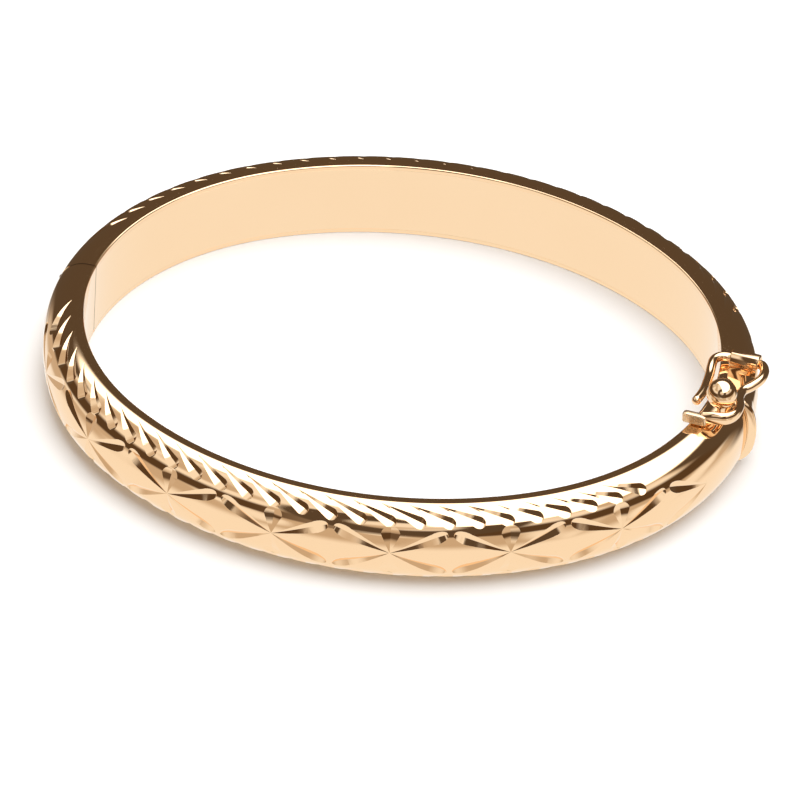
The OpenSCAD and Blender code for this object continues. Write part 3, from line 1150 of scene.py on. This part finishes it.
@dataclass
class HalfBand:
    """One half of the band: the engraved shell and the polished inner wall."""

    band: Band
    front: bool
    engraving: StarAndFlutes
    edge: float = 0.008
    pocket_clearance: float = 0.1
    relief_angle: float = math.radians(26.5)
    relief_reach: float = 3.0
    notch_half: float = 0.75
    notch_inside: float = 0.5
    notch_reach: float = 0.62
    notch_depth: float = 0.9
    stem_clearance: float = 0.14
    stem_travel: float = 0.3

    @property
    def label(self) -> str:
        """Which half it is, as the CAD nodes name it."""
        return "front" if self.front else "back"

    def hinge_room(self) -> Piece:
        """Cutter for the knuckles' pocket.

        Returns:
            The cutter's object.
        """
        pin, _ = joint_place("main_hinge")
        low, high = box_mm("hinge_pin")
        knuckle_low, knuckle_high = box_mm("middle_knuckle")
        clearance = self.pocket_clearance
        radius = (knuckle_high.y - knuckle_low.y) / 2 + clearance
        rings = []
        for height in (low.z - clearance, high.z + clearance):
            circle = arc((pin.x, pin.y), radius, 0, 2 * math.pi, 48)[:-1]
            rings.append([Vector((x, y, height)) for x, y in circle])
        return loft("hinge_room", rings)

    def hinge_relief(self) -> Piece:
        """Cutter for the wedge outside the pin that lets the halves swing.

        Returns:
            The cutter's object.
        """
        pin, _ = joint_place("main_hinge")
        tip, reach, slope = pin.x + self.pocket_clearance, self.relief_reach, math.tan(self.relief_angle)
        rings = []
        for height in (-1.0, self.band.section.width + 1.0):
            wedge = [(tip, 0.0), (tip - reach, reach * slope), (tip - reach, -reach * slope)]
            rings.append([Vector((x, y, height)) for x, y in wedge])
        return loft("hinge_relief", rings)

    def seam_notch(self) -> Piece:
        """Cutter for the small V at the inner end of the hinge seam.

        Returns:
            The cutter's object.
        """
        x = -self.band.oval.half_length
        top = self.band.section.width
        inside, half, over = x + self.notch_inside, self.notch_half, top + 0.5
        corners = [(inside, half, over), (inside, -half, over), (inside, 0.0, top - self.notch_depth)]
        verts = [*map(Vector, corners), Vector((x - self.notch_reach, 0.0, top + 0.35))]
        return mesh_object("seam_notch", verts, [(0, 1, 2), (0, 1, 3), (1, 2, 3), (2, 0, 3)])

    def stem_slot(self) -> Piece:
        """Cutter for the slot in the upper rim that the ball's stem moves in.

        Returns:
            The cutter's object.
        """
        low, high = box_mm("ball_stem")
        y0, y1 = low.y - self.stem_clearance - self.stem_travel, high.y + self.stem_clearance
        radius = (high.x - low.x) / 2 + self.stem_clearance
        x = (low.x + high.x) / 2
        outline = arc((x, y1 - radius), radius, 0, math.pi, 20)
        outline += arc((x, y0 + radius), radius, math.pi, 2 * math.pi, 20)
        heights = (self.band.section.half + self.band.section.shoulder_rise, self.band.section.width + 1)
        return loft("stem_slot", [[Vector((a, b, z)) for a, b in outline] for z in heights])

    def build_shell(self, pattern: EngravingPattern, metal: Metal) -> Piece:
        """The engraved shell.

        Args:
            pattern: The tree that lays the cuts round the band.
            metal: Material of the cuts.

        Returns:
            The shell, in metres.
        """
        outline = self.band.section.shell_outline()
        shell = self.band.sweep(f"{self.label}_engraved_shell", outline, self.front)
        begin = 0.0 if self.front else self.band.half_run
        for groove, first, pitch, count in self.engraving.rows():
            carve(shell, pattern.spread(groove, begin + first, pitch, count, metal))
        carve(shell, self.hinge_room())
        carve(shell, self.hinge_relief())
        carve(shell, self.seam_notch())
        if self.front:
            carve(shell, self.stem_slot())
        self.band.shade(shell.data)
        shell.data.transform(Matrix.Scale(MM, 4))
        return shell

    def build_wall(self) -> Piece:
        """The inner wall, with its long edges eased where it meets the shell.

        Returns:
            The wall, in metres.
        """
        wall, e = self.band.section.wall, self.edge
        low, high = wall, self.band.section.width - wall
        outline = [(e, low), (wall, low), (wall, high), (e, high), (0.0, high - e), (0.0, low + e)]
        piece = self.band.sweep(f"{self.label}_inner_wall", outline, self.front, 220)
        finish_mesh(piece, 20)
        return piece

    def make(self, pattern: EngravingPattern, finishes: Finishes) -> None:
        """Builds both pieces and gives them to their body.

        Args:
            pattern: The pattern that lays the cuts round the band.
            finishes: The materials by slot.
        """
        body = f"{self.label}_half"
        shell = self.build_shell(pattern, finishes[Slot.POLISHED])
        hand_over(shell, Slot.POLISHED, finishes, body, f"{self.label}_shell")
        wall = self.build_wall()
        hand_over(wall, Slot.INNER, finishes, body, f"{self.label}_inner_band")


# ---- clasp -----------------------------------------------------------------


@dataclass
class ClaspRib:
    """Raised rib round the crown just behind the mouth, with a long run-out towards the back."""

    band: Band
    rise: float = 0.75
    root: float = 0.12
    reach: float = 3.9
    run_out: float = 3.4

    def profile(self) -> list[Point2]:
        """Outline of the rib along the band.

        Returns:
            Points as (distance from the seam, share of the full rise).
        """
        low, high = box_mm("clasp_collar")
        crest, half = (low.y + high.y) / 2, (high.y - low.y) / 2
        steep = [(crest - half * math.cos(a), math.sin(a) ** 0.7)
                 for a in (math.pi / 2 * i / 8 for i in range(9))]
        bead = [(crest + half * math.sin(a), 0.55 + 0.45 * math.cos(a))
                for a in (math.pi / 2 * i / 8 for i in range(1, 9))]
        start = crest + half
        tail = [(start + self.run_out * i / 14, 0.55 * (1 - i / 14) ** 2 * (1 + 0.6 * i / 14))
                for i in range(1, 15)]
        return steep + bead + tail

    def make(self, finishes: Finishes) -> None:
        """Builds the rib, whose height fades over the shoulders.

        Args:
            finishes: The materials by slot.
        """
        section, steps = self.band.section, 64
        outline = self.profile()
        rings = []
        for i in range(steps + 1):
            across = self.reach * (2 * i / steps - 1)
            (offset, height), (n_offset, n_height) = section.at(across)
            fade = math.sqrt(max(0.0, 1 - (across / self.reach) ** 2)) ** 0.7
            ring = []
            for y, share in outline:
                lift = (self.rise * fade + self.root) * share - self.root
                ring.append(self._at(y, offset + n_offset * lift, section.half + height + n_height * lift))
            for y, _ in (outline[-1], outline[0]):
                ring.append(self._at(y, offset - n_offset * 0.3, section.half + height - n_height * 0.3))
            rings.append(ring)
        rib = loft("clasp_rib", rings)
        finish_mesh(rib, 40)
        hand_over(rib, Slot.POLISHED, finishes, "back_half", "clasp_collar")

    def _at(self, y: float, offset: float, height: float) -> Vector:
        """A point beside the clasp on the end arc, at a distance y from the seam's plane."""
        reach = self.band.oval.end_radius + offset
        return Vector((self.band.oval.end_centre + math.sqrt(reach**2 - y**2), y, height))


@dataclass
class PushButton:
    """The ball on its turned neck."""

    neck: float = 0.46
    facets: int = 72

    def make(self, finishes: Finishes) -> None:
        """Turns the ball and the neck as one profile.

        Args:
            finishes: The materials by slot.
        """
        low, high = box_mm("push_ball")
        centre, radius = (low + high) / 2, (high.z - low.z) / 2
        meet = math.asin(self.neck / radius)
        profile = [(0.0001, radius)]
        profile += [(radius * math.sin(a), radius * math.cos(a))
                    for a in (math.radians(4 * i) for i in range(1, 40)) if a < math.pi - meet]
        base = -radius * math.cos(meet)
        profile += [(self.neck, base - 0.02), (self.neck, base - 0.1), (self.neck - 0.04, base - 0.16)]
        profile += [(0.0001, base - 0.16)]
        rings = []
        for reach, rise in profile:
            circle = arc((centre.x, centre.y), reach, 0, 2 * math.pi, self.facets)[:-1]
            rings.append([Vector((x, y, centre.z + rise)) for x, y in circle])
        ball = loft("push_button", rings)
        finish_mesh(ball, 40)
        hand_over(ball, Slot.FITTING, finishes, "spring_tongue", "push_ball")


# ---- safety catch ----------------------------------------------------------


def smooth_line(points: Sequence[Point2], steps: int) -> list[Point2]:
    """A smooth line through points, by Catmull-Rom.

    Args:
        points: The points that it goes through.
        steps: Steps between each pair of points.

    Returns:
        The line's points.
    """
    knots = [points[0], *points, points[-1]]
    line = []
    for a, b, c, d in zip(knots, knots[1:], knots[2:], knots[3:]):
        for i in range(steps):
            t = i / steps
            line.append(tuple(
                0.5 * (2 * q + (r - p) * t + (2 * p - 5 * q + 4 * r - s) * t * t
                       + (3 * q - p - 3 * r + s) * t**3)
                for p, q, r, s in zip(a, b, c, d)
            ))
    return [*line, points[-1]]


@dataclass
class SafetyCatch:
    """Figure-eight wire, its strap and its grip, laid out in the catch's own plane (u, v).

    u runs outwards along the hinge bar and v towards the back half. A strand is a list of
    (u, v, depth of the wire, height over the hinge's plane).
    """

    wire: float = 0.45
    strap_half: float = 1.4
    strap_clearance: float = 0.03
    strap_wall: float = 0.37
    strap_foot: float = -0.95
    strap_flat: float = 0.42
    strap_flare: float = 0.15
    strap_knee: float = 0.25
    outer: tuple[tuple[float, float, float, float], ...] = (
        (1.2, 0.0, 0.45, 0.0),
        (1.8, -0.25, 0.45, 0.05),
        (2.25, -1.2, 0.46, 0.08),
        (2.3, -2.5, 0.48, 0.08),
        (1.85, -3.8, 0.48, 0.06),
        (1.35, -4.8, 0.48, 0.06),
        (1.4, -6.0, 0.5, 0.08),
        (1.9, -7.4, 0.54, 0.12),
        (1.95, -8.9, 0.6, 0.16),
        (1.4, -9.9, 0.64, 0.2),
        (0.3, -10.3, 0.66, 0.22),
        (-0.6, -10.45, 0.56, 0.16),
    )
    inner: tuple[tuple[float, float, float, float], ...] = (
        (-1.2, 0.0, 0.45, 0.0),
        (-1.8, 0.0, 0.45, 0.03),
        (-2.4, -0.35, 0.45, 0.1),
        (-2.75, -1.1, 0.46, 0.12),
        (-2.65, -2.1, 0.46, 0.1),
        (-2.4, -3.4, 0.45, 0.0),
        (-2.2, -4.8, 0.45, 0.0),
        (-2.05, -6.3, 0.46, 0.0),
        (-2.15, -7.9, 0.48, 0.0),
    )

    def __post_init__(self) -> None:
        """Finds the catch's plane from its joint."""
        self.origin, axis = joint_place("catch_lift")
        self.u = -axis
        self.v = Vector((0, 0, 1)).cross(self.u)
        low, high = box_mm("thumb_tab")
        self.tab = (low + high) / 2
        self.tab_size = Vector((2.3, 0.75, high.z - low.z))

    def at(self, u: float, v: float, w: float = 0.0) -> Vector:
        """A point in the catch's own frame, in the frame of the bangle."""
        return self.origin + self.u * u + self.v * v + Vector((0, 0, w))

    def build_wire(self) -> Piece:
        """The wire as a tube whose depth grows at the front of the small loop.

        Returns:
            The wire, in metres.
        """
        line = smooth_line([*reversed(self.inner), *self.outer], 7)
        rings = []
        for i, (u, v, tall, lift) in enumerate(line):
            before, after = line[max(i - 1, 0)], line[min(i + 1, len(line) - 1)]
            along = Vector((after[0] - before[0], after[1] - before[1])).normalized()
            rings.append(self._ring((u, v), along, tall, lift, 1.0))
        rings = [*self._cap(line[0], line[1], -1), *rings, *reversed(self._cap(line[-1], line[-2], 1))]
        wire = loft("catch_strands", rings)
        finish_mesh(wire, 50)
        return wire

    def _cap(self, tip: Sequence[float], beside: Sequence[float], forward: int) -> list[list[Vector]]:
        """Rings of a rounded end, from its pole inwards.

        Args:
            tip: Last point of the middle line.
            beside: The point next to it.
            forward: 1 where the line ends at the tip, -1 where it starts there.

        Returns:
            The rings.
        """
        away = Vector((tip[0] - beside[0], tip[1] - beside[1])).normalized()
        along = away * forward
        rings = []
        for k in range(7, 0, -1):
            bend = math.pi / 2 * k / 7.4
            reach = self.wire * math.sin(bend)
            point = (tip[0] + away.x * reach, tip[1] + away.y * reach)
            rings.append(self._ring(point, along, tip[2], tip[3], math.cos(bend)))
        return rings

    def _ring(self, point: Point2, along: Vector, tall: float, lift: float, scale: float) -> list[Vector]:
        """One ring of the wire.

        Args:
            point: Middle of the wire.
            along: Direction of the wire.
            tall: Half of the wire's depth.
            lift: Height of its middle over the hinge's plane.
            scale: Size of the ring against the full wire.

        Returns:
            The ring's vertices.
        """
        facets = 22
        ring = []
        for k in range(facets):
            a = 2 * math.pi * k / facets
            side = self.wire * scale * math.cos(a)
            ring.append(self.at(point[0] - along.y * side, point[1] + along.x * side,
                                lift + tall * scale * math.sin(a)))
        return ring

    def build_strap(self) -> Piece:
        """The strap over the hinge bar, with sloping faces and its legs in the rim.

        Returns:
            The strap, in metres.
        """
        room = self.wire + self.strap_clearance
        out, foot, flat = room + self.strap_wall, self.strap_foot, self.strap_flat
        outline = [(out + self.strap_flare, foot), (out, self.strap_knee), (flat, out)]
        outline += [(-flat, out), (-out, self.strap_knee), (-out - self.strap_flare, foot), (-room, foot)]
        outline += [(-x, z) for x, z in arc((0.0, 0.0), room, 0, math.pi, 16)]
        outline += [(room, foot)]
        rings = [[self.at(u, v, w) for v, w in outline] for u in (-self.strap_half, self.strap_half)]
        strap = loft("catch_strap", rings)
        soften(strap, 0.13, 4)
        finish_mesh(strap, 35)
        return strap

    def build_tab(self) -> Piece:
        """The flattened end of the wire, smaller at both tips and rounded.

        Returns:
            The tab, in metres.
        """
        length, thick, tall = self.tab_size
        centre = (self.tab - self.origin).dot(self.u), (self.tab - self.origin).dot(self.v)
        steps, slimming, rings = 12, 0.18, []
        for i in range(steps + 1):
            u = centre[0] + length * (0.5 - i / steps)
            inwards = min(min(i, steps - i) / 2, 1)
            scale = 1 - slimming + slimming * math.sin(math.pi / 2 * inwards)
            y, z = thick / 2 * scale, tall / 2 * scale
            corners = ((-1, -1), (1, -1), (1, 1), (-1, 1))
            rings.append([self.at(u, centre[1] + a * y, b * z) for a, b in corners])
        tab = loft("grip_tab", rings)
        soften(tab, 0.12, 3)
        finish_mesh(tab, 35)
        return tab

    def make(self, finishes: Finishes) -> None:
        """Builds the catch's pieces and gives them to their bodies.

        Args:
            finishes: The materials by slot.
        """
        hand_over(self.build_wire(), Slot.WIRE, finishes, "safety_catch", "catch_wire")
        hand_over(self.build_strap(), Slot.FITTING, finishes, "back_half", "catch_bracket")
        hand_over(self.build_tab(), Slot.TEXTURED, finishes, "safety_catch", "thumb_tab")
        grip = GripStipple(self).build(finishes[Slot.TEXTURED])
        hand_over(grip, Slot.TEXTURED, finishes, "safety_catch")


@dataclass
class GripStipple:
    """Small points over the front of the thumb tab, laid by Geometry Nodes."""

    catch: SafetyCatch
    length: float = 1.9
    height: float = 0.72
    pitch: float = 0.17
    point: float = 0.07

    def _tree(self) -> Tree:
        """Builds the pattern: a grid of points with one cone on each.

        Returns:
            The Geometry Nodes group.
        """
        tree, given = pattern_tree("grip_stipple", (
            ("Length", "Float"), ("Height", "Float"), ("Columns", "Int"), ("Rows", "Int"),
            ("Point", "Float"), ("Material", "Material"),
        ))
        grid = node_link(
            tree, "GeometryNodeMeshGrid", Size_X=given["Length"], Size_Y=given["Height"],
            Vertices_X=given["Columns"], Vertices_Y=given["Rows"],
        )
        cone = node_link(
            tree, "GeometryNodeMeshCone", Vertices=6, Side_Segments=1, Fill_Segments=1,
            Radius_Top=0.02, Radius_Bottom=given["Point"], Depth=given["Point"],
        )
        index = tree.nodes.new("GeometryNodeInputIndex").outputs[0]
        jitter = tree.nodes.new("FunctionNodeRandomValue")
        jitter.data_type = "FLOAT"
        jitter.inputs[2].default_value = 0.8
        jitter.inputs[3].default_value = 1.15
        jitter.inputs["Seed"].default_value = 7
        tree.links.new(index, jitter.inputs["ID"])
        spread = node_link(
            tree, "GeometryNodeInstanceOnPoints", Points=grid.outputs[0], Instance=cone.outputs[0],
            Scale=jitter.outputs[1],
        )
        close_pattern(tree, spread.outputs[0], given["Material"])
        return tree

    def build(self, material: Metal) -> Piece:
        """The stipple on the face of the tab that looks away from the hinge.

        Args:
            material: The grip's material.

        Returns:
            One mesh, in metres.
        """
        mesh = bpy.data.meshes.new("grip_points")
        piece = bpy.data.objects.new("grip_points", mesh)
        bpy.context.scene.collection.objects.link(piece)
        run_pattern(piece, self._tree(), {
            "Length": self.length, "Height": self.height, "Columns": round(self.length / self.pitch) + 1,
            "Rows": round(self.height / self.pitch) + 1, "Point": self.point, "Material": material,
        })
        catch = self.catch
        middle = catch.tab - catch.v * (catch.tab_size.y / 2 - 0.01)
        turn = Matrix((catch.u, (0, 0, 1), -catch.v)).transposed().to_4x4()
        piece.data.transform(Matrix.Translation(middle) @ turn)
        finish_mesh(piece, 20)
        return piece


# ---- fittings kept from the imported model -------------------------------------


def dress_kept_nodes(finishes: Finishes) -> None:
    """Gives every CAD node the finish of its slot.

    Args:
        finishes: The materials by slot.
    """
    slots = {row["node"]: Slot(row["material_slot"]) for row in frame["record"]["subparts"]}
    for name, node in frame["nodes"].items():
        dress(node, finishes[slots[name]])
    LOG.info("dressed %d packed nodes", len(frame["nodes"]))


# ---- studio ----------------------------------------------------------------


@dataclass(frozen=True)
class Studio:
    """Pale floor, and a sky of pale and dark zones that the polished gold mirrors.

    Each zone's limits are where its edge fades, as heights of the direction unless noted.
    """

    fill: tuple[float, float, float] = (1.0, 0.985, 0.96)
    panel: float = 2.6
    wall_side: Point2 = (0.52, 0.68)
    wall_lean: float = 0.4
    wall_top: Point2 = (0.64, 0.58)
    wall_foot: Point2 = (-0.52, -0.42)
    panel_foot: Point2 = (0.6, 0.66)
    panel_slant: Point2 = (1.1, 0.8)
    panel_side: Point2 = (-0.29, -0.22)
    gap_foot: Point2 = (-0.1, 0.02)
    gap_top: Point2 = (0.45, 0.3)
    gap_sides: Point2 = (0.1, 0.5)
    gap_middle: float = 0.7
    cloud_scale: float = 2.1
    cloud_edge: Point2 = (0.42, 0.6)
    cloud_foot: Point2 = (-0.35, -0.5)
    ring_outside: Point2 = (0.83, 0.87)
    ring_inside: Point2 = (0.985, 0.96)
    floor_reach: float = 3000.0
    floor_level: float = -0.01
    lamp_energy: float = 0.6
    lamp_size: float = 0.35
    lamp_place: tuple[float, float, float] = (-0.05, -0.05, 0.6)
    lamp_tilt: float = -0.1
    low_fill: tuple[float, float, float] = (0.62, 0.52, 0.42)
    horizon: tuple[float, float, float] = (0.1, 0.06, 0.03)
    dark: tuple[float, float, float] = (0.105, 0.075, 0.05)
    screen: tuple[float, float, float] = (0.2, -0.8, 0.57)

    def build(self) -> None:
        """Builds the floor, the world and the lamp."""
        self._floor()
        self._world()
        self._lamp()
        LOG.info("studio ready")

    def _floor(self) -> None:
        """A large sheet just under the bangle, with a paper-like grain."""
        signs = ((-1, -1), (1, -1), (1, 1), (-1, 1))
        corners = [Vector((x * self.floor_reach, y * self.floor_reach, self.floor_level)) for x, y in signs]
        floor = mesh_object("floor", corners, [(0, 1, 2, 3)])
        floor.data.transform(Matrix.Scale(MM, 4))
        material = bpy.data.materials.new("paper")
        material.use_nodes = True
        tree = material.node_tree
        shader = tree.nodes["Principled BSDF"]
        place = tree.nodes.new("ShaderNodeTexCoord").outputs["Object"]
        grain = node_link(tree, "ShaderNodeTexNoise", Vector=place, Scale=400.0, Detail=3.0)
        tint = blend_node(tree, grain.outputs[0], (0.93, 0.93, 0.93, 1), (0.95, 0.95, 0.95, 1))
        tree.links.new(tint, shader.inputs["Base Color"])
        shader.inputs["Roughness"].default_value = 0.9
        floor.data.materials.append(material)
        floor.visible_glossy = False

    def _world(self) -> None:
        """Sky whose brightness depends only on direction."""
        world = bpy.data.worlds.new("studio")
        bpy.context.scene.world = world
        world.use_nodes = True
        tree = world.node_tree
        tree.nodes.clear()
        way = tree.nodes.new("ShaderNodeTexCoord").outputs["Generated"]
        parts = node_link(tree, "ShaderNodeSeparateXYZ", Vector=way).outputs
        x, y, z = parts["X"], parts["Y"], parts["Z"]
        level = math_node(tree, "SQRT", math_node(
            tree, "ADD", math_node(tree, "MULTIPLY", x, x), math_node(tree, "MULTIPLY", y, y)))
        behind = math_node(tree, "DIVIDE", y, math_node(tree, "MAXIMUM", level, 0.001))
        behind = math_node(tree, "MULTIPLY_ADD", z, self.wall_lean, behind)
        wall = self._step(tree, behind, *self.wall_side)
        wall = math_node(tree, "MULTIPLY", wall, self._step(tree, z, *self.wall_top))
        wall = math_node(tree, "MULTIPLY", wall, self._step(tree, z, *self.wall_foot))
        slant = math_node(tree, "MULTIPLY", x, self.panel_slant[0])
        slant = math_node(tree, "MULTIPLY_ADD", y, self.panel_slant[1], slant)
        panel = self._step(tree, slant, *self.panel_side)
        panel = math_node(tree, "MULTIPLY", self._step(tree, z, *self.panel_foot), panel)
        gap = math_node(
            tree, "MULTIPLY", self._step(tree, z, *self.gap_foot), self._step(tree, z, *self.gap_top)
        )
        aside = self._step(tree, math_node(tree, "ABSOLUTE", x), *self.gap_sides)
        gap = math_node(tree, "MULTIPLY", gap, math_node(
            tree, "MULTIPLY_ADD", aside, 1 - self.gap_middle, self.gap_middle))
        room = node_link(tree, "ShaderNodeTexNoise", Vector=way, Scale=self.cloud_scale, Detail=1.0)
        cloud = self._step(tree, room.outputs[0], *self.cloud_edge)
        cloud = math_node(tree, "MAXIMUM", cloud, self._step(tree, z, *self.cloud_foot))
        soft = blend_node(tree, cloud, (*self.low_fill, 1), (*self.fill, 1))
        shade = blend_node(tree, gap, soft, (*self.horizon, 1))
        shade = blend_node(tree, self._ring(tree, way), shade, (*self.dark, 1))
        shade = blend_node(tree, wall, shade, (*self.dark, 1))
        lit = blend_node(tree, panel, shade, (self.panel, self.panel, self.panel, 1))
        direct = tree.nodes.new("ShaderNodeLightPath").outputs["Is Camera Ray"]
        seen = blend_node(tree, direct, lit, (1, 1, 1, 1))
        sky = tree.nodes.new("ShaderNodeBackground")
        tree.links.new(seen, sky.inputs["Color"])
        out = tree.nodes.new("ShaderNodeOutputWorld")
        tree.links.new(sky.outputs[0], out.inputs[0])

    def _ring(self, tree: Tree, way: Socket) -> Socket:
        """Mask of the dark ring round the pale screen that stands in front of the bangle.

        Args:
            tree: The world's tree.
            way: The direction that is looked in.

        Returns:
            The mask.
        """
        facing = vector_node(tree, "DOT_PRODUCT", way, Vector(self.screen).normalized()).outputs["Value"]
        return math_node(tree, "MULTIPLY", self._step(tree, facing, *self.ring_outside),
                         self._step(tree, facing, *self.ring_inside))

    @staticmethod
    def _step(tree: Tree, value: Socket, low: float, high: float
              ) -> Socket:
        """Adds a smooth step.

        Args:
            tree: The world's tree.
            value: What is stepped.
            low: Where the step is 0.
            high: Where it is 1.

        Returns:
            The step's output.
        """
        node = tree.nodes.new("ShaderNodeMapRange")
        node.interpolation_type = "SMOOTHSTEP"
        tree.links.new(value, node.inputs["Value"])
        node.inputs["From Min"].default_value = low
        node.inputs["From Max"].default_value = high
        return node.outputs[0]

    def _lamp(self) -> None:
        """A broad lamp overhead for the shadow under the rim."""
        lamp = bpy.data.lights.new("overhead", "AREA")
        lamp.energy = self.lamp_energy
        lamp.size = self.lamp_size
        rig = bpy.data.objects.new("overhead", lamp)
        rig.location = self.lamp_place
        rig.rotation_euler = (self.lamp_tilt, self.lamp_tilt, 0)
        rig.visible_glossy = False
        bpy.context.scene.collection.objects.link(rig)


@dataclass(frozen=True)
class ProductCamera:
    """Long lens that looks down on the bangle from the front right."""

    azimuth: float = 15.0
    elevation: float = 34.57
    distance: float = 1.4345
    roll: float = 3.07
    lens: float = 689.96
    shift: Point2 = (-0.0005, -0.0463)

    def build(self, target: Vector) -> None:
        """Places the camera.

        Args:
            target: The point that it looks at.
        """
        az, el = math.radians(self.azimuth), math.radians(self.elevation)
        back = Vector((math.sin(az) * math.cos(el), -math.cos(az) * math.cos(el), math.sin(el)))
        right = Vector((math.cos(az), math.sin(az), 0.0))
        up = back.cross(right)
        tilt = Matrix.Rotation(math.radians(self.roll), 3, back)
        right, up = tilt @ right, tilt @ up
        data = bpy.data.cameras.new("camera")
        data.lens = self.lens
        data.sensor_width = 36.0
        data.shift_x, data.shift_y = self.shift
        data.clip_start = 0.05
        camera = bpy.data.objects.new("camera", data)
        camera.matrix_world = Matrix.Translation(target + back * self.distance) @ Matrix(
            (right, up, back)).transposed().to_4x4()
        bpy.context.scene.collection.objects.link(camera)
        bpy.context.scene.camera = camera
        LOG.info("camera at %.3f m", self.distance)


def main() -> None:
    """Builds the bangle piece by piece, then the studio."""
    logging.basicConfig(level=logging.INFO, format="%(name)s: %(message)s", stream=sys.stdout)
    band = Band.from_frame()
    LOG.info("band %s", band)
    finishes = make_finishes()
    dress_kept_nodes(finishes)
    pattern = EngravingPattern(band)
    HalfBand(band, True, StarAndFlutes()).make(pattern, finishes)
    HalfBand(band, False, StarAndFlutes(first_star=16.9, first_flute=7.5, flutes=29)).make(pattern, finishes)
    pattern.close()
    ClaspRib(band).make(finishes)
    PushButton().make(finishes)
    SafetyCatch().make(finishes)
    Studio().build()
    ProductCamera().build(Vector((0.0, 0.0, band.section.half * MM)))
    bpy.context.scene.view_settings.view_transform = "Standard"


if __name__ == "__main__":
    main()
